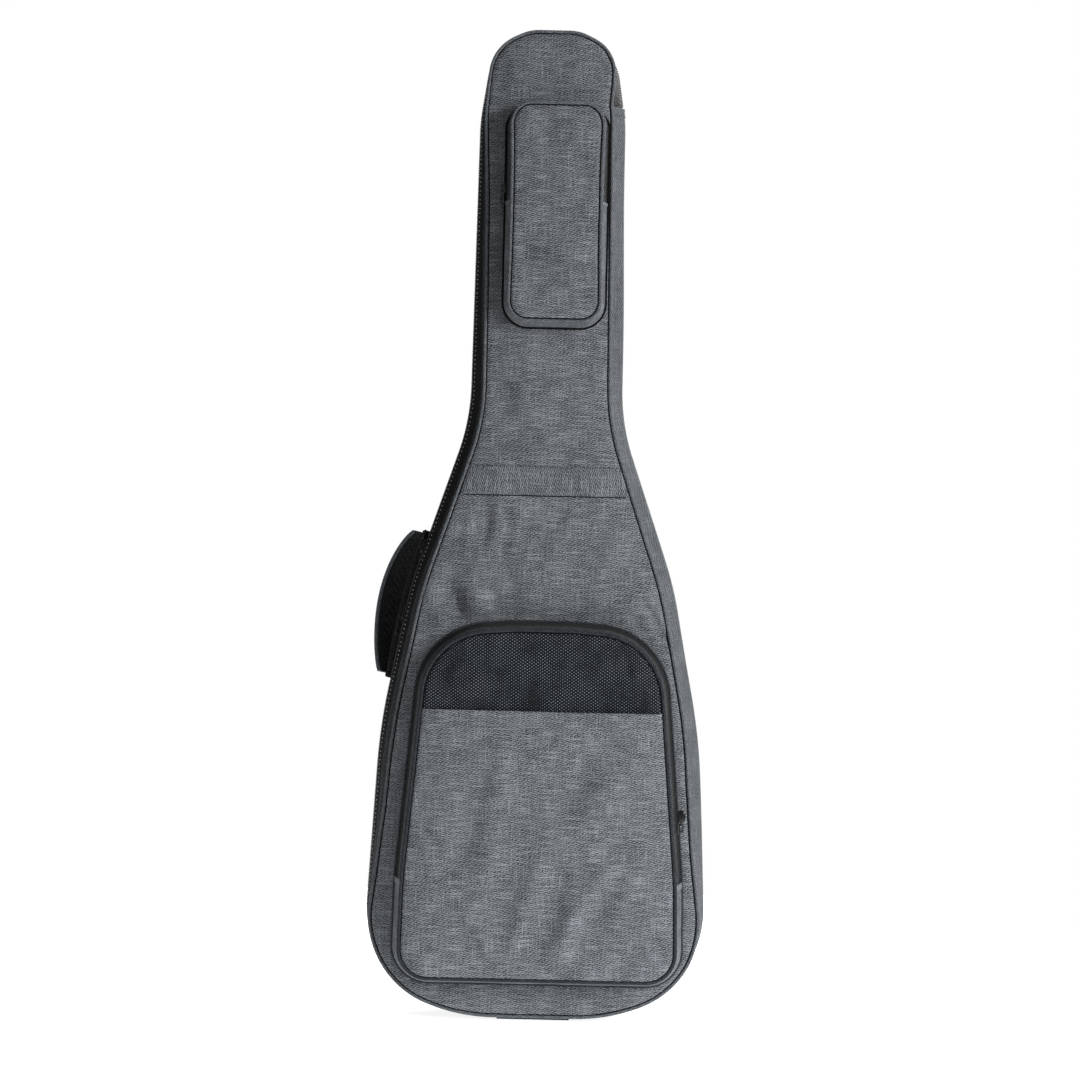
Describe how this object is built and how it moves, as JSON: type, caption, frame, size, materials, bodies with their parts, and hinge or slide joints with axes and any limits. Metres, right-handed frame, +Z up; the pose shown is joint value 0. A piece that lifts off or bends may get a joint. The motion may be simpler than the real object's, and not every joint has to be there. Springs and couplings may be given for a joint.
{
  "type": "padded gig bag",
  "caption": "Padded guitar-shaped gig bag with a zipped cover that opens like a book, two zipped front pockets, a slip pocket, side handle and shoulder straps.",
  "frame": {"origin": "centre of the bounding box's bottom face, on the ground under the feet", "axes": "+Z up from the bottom to the head, front with the pockets faces -Y, +X is the hinge side, the right seen from the front"},
  "size_m": [0.3596, 0.1376, 1.04],
  "materials": {
    "melange_cloth": "grey melange woven polyester",
    "black_cloth": "black ribbed nylon",
    "liner_cloth": "brushed black nylon lining",
    "padding_foam": "closed foam sheet, covered",
    "piping_cloth": "grey cord piping",
    "zip_nylon": "black nylon tape and coil",
    "webbing": "black polypropylene webbing",
    "mesh_padding": "black spacer mesh over foam",
    "slider_metal": "black enamel on zinc",
    "buckle_plastic": "moulded acetal",
    "foot_rubber": "matte rubber"
  },
  "bodies": {
    "back_shell": {"back_panel": "melange_cloth", "back_foam": "padding_foam", "back_gusset_foam": "padding_foam", "back_lining": "liner_cloth", "back_gusset": "melange_cloth", "back_hinge_gusset": "melange_cloth", "back_piping": "piping_cloth", "back_zip": "zip_nylon", "back_base_foot": "foot_rubber", "neck_rest": "padding_foam", "neck_strap": "webbing", "handle_anchors": "webbing", "strap_anchors": "black_cloth", "hang_loop_patch": "webbing"},
    "front_cover": {"front_panel": "melange_cloth", "front_foam": "padding_foam", "front_gusset_foam": "padding_foam", "front_lining": "liner_cloth", "front_gusset": "melange_cloth", "front_hinge_gusset": "melange_cloth", "front_piping": "piping_cloth", "front_zip": "zip_nylon", "front_base_foot": "foot_rubber", "waist_band": "melange_cloth", "upper_pocket_wall": "melange_cloth", "upper_pocket_base_piping": "piping_cloth", "upper_pocket_zip": "zip_nylon", "upper_pocket_panel": "melange_cloth", "upper_pocket_edge_piping": "piping_cloth", "lower_pocket_wall": "melange_cloth", "lower_pocket_base_piping": "piping_cloth", "lower_pocket_zip": "zip_nylon", "lower_pocket_panel": "black_cloth", "lower_pocket_edge_piping": "piping_cloth", "slip_pocket": "melange_cloth"},
    "upper_flap": {"upper_flap_panel": "melange_cloth", "upper_flap_piping": "piping_cloth", "upper_flap_zip": "zip_nylon"},
    "lower_flap": {"lower_flap_panel": "black_cloth", "lower_flap_piping": "piping_cloth", "lower_flap_zip": "zip_nylon", "slip_pocket_flap": "melange_cloth"},
    "upper_pocket_slider": {"upper_pocket_slider": "slider_metal"},
    "upper_pocket_pull": {"upper_pocket_pull": "slider_metal"},
    "lower_pocket_slider": {"lower_pocket_slider": "slider_metal"},
    "lower_pocket_pull": {"lower_pocket_pull": "slider_metal"},
    "main_upper_slider": {"main_upper_slider": "slider_metal"},
    "main_upper_pull": {"main_upper_pull": "slider_metal"},
    "main_lower_slider": {"main_lower_slider": "slider_metal"},
    "main_lower_pull": {"main_lower_pull": "slider_metal"},
    "side_handle": {"side_handle": "melange_cloth"},
    "left_strap": {"left_strap_webbing": "webbing", "left_strap_pad": "mesh_padding", "left_strap_buckle": "buckle_plastic"},
    "right_strap": {"right_strap_webbing": "webbing", "right_strap_pad": "mesh_padding", "right_strap_buckle": "buckle_plastic"},
    "hang_loop": {"hang_loop": "webbing"}
  },
  "joints": [
    {"name": "cover_hinge", "type": "hinge", "parent": "back_shell", "child": "front_cover", "pos_m": [0.0805, 0.01345, 0.949], "axis": [-0.1386, 0, 0.9903], "range_deg": [0, 110]},
    {"name": "upper_flap_fold", "type": "hinge", "parent": "front_cover", "child": "upper_flap", "pos_m": [0.0055, -0.05295, 0.86], "axis": [1, 0, 0], "range_deg": [0, 60]},
    {"name": "lower_flap_fold", "type": "hinge", "parent": "front_cover", "child": "lower_flap", "pos_m": [0.0025, -0.06295, 0.15], "axis": [1, 0, 0], "range_deg": [0, 60]},
    {"name": "upper_pocket_slide", "type": "slide", "parent": "front_cover", "child": "upper_pocket_slider", "axis": [0, 0, 1], "range_m": [0, 0.06]},
    {"name": "upper_pocket_pull_turn", "type": "hinge", "parent": "upper_pocket_slider", "child": "upper_pocket_pull", "pos_m": [-0.0518, -0.04085, 0.872], "axis": [0, 1, 0], "range_deg": [-10, 170]},
    {"name": "lower_pocket_slide", "type": "slide", "parent": "front_cover", "child": "lower_pocket_slider", "axis": [-0.0878, 0, 0.9961], "range_m": [-0.04, 0.125]},
    {"name": "lower_pocket_pull_turn", "type": "hinge", "parent": "lower_pocket_slider", "child": "lower_pocket_pull", "pos_m": [0.14971, -0.05085, 0.20741], "axis": [0, 1, 0], "range_deg": [0, 170]},
    {"name": "main_upper_slide", "type": "slide", "parent": "back_shell", "child": "main_upper_slider", "axis": [0.3185, 0, 0.9479], "range_m": [0, 0.035]},
    {"name": "main_upper_pull_turn", "type": "hinge", "parent": "main_upper_slider", "child": "main_upper_pull", "pos_m": [-0.13085, 0.01345, 0.4965], "axis": [0, -1, 0], "range_deg": [0, 170]},
    {"name": "main_lower_slide", "type": "slide", "parent": "back_shell", "child": "main_lower_slider", "axis": [-0.1917, 0, -0.9814], "range_m": [0, 0.04]},
    {"name": "main_lower_pull_turn", "type": "hinge", "parent": "main_lower_slider", "child": "main_lower_pull", "pos_m": [-0.15036, 0.01345, 0.4249], "axis": [0, 1, 0], "range_deg": [0, 170]},
    {"name": "handle_turn", "type": "hinge", "parent": "back_shell", "child": "side_handle", "pos_m": [-0.166, 0.03045, 0.357], "axis": [0.2322, 0, 0.9727], "range_deg": [-25, 40]},
    {"name": "left_strap_swing", "type": "hinge", "parent": "back_shell", "child": "left_strap", "pos_m": [-0.125, 0.05645, 0.112], "axis": [0.1356, 0, 0.9908], "range_deg": [0, 80]},
    {"name": "right_strap_swing", "type": "hinge", "parent": "back_shell", "child": "right_strap", "pos_m": [0.125, 0.05645, 0.112], "axis": [0.1356, 0, -0.9908], "range_deg": [0, 80]},
    {"name": "hang_loop_turn", "type": "hinge", "parent": "back_shell", "child": "hang_loop", "pos_m": [0, 0.06115, 0.985], "axis": [1, 0, 0], "range_deg": [0, 150]}
  ]
}
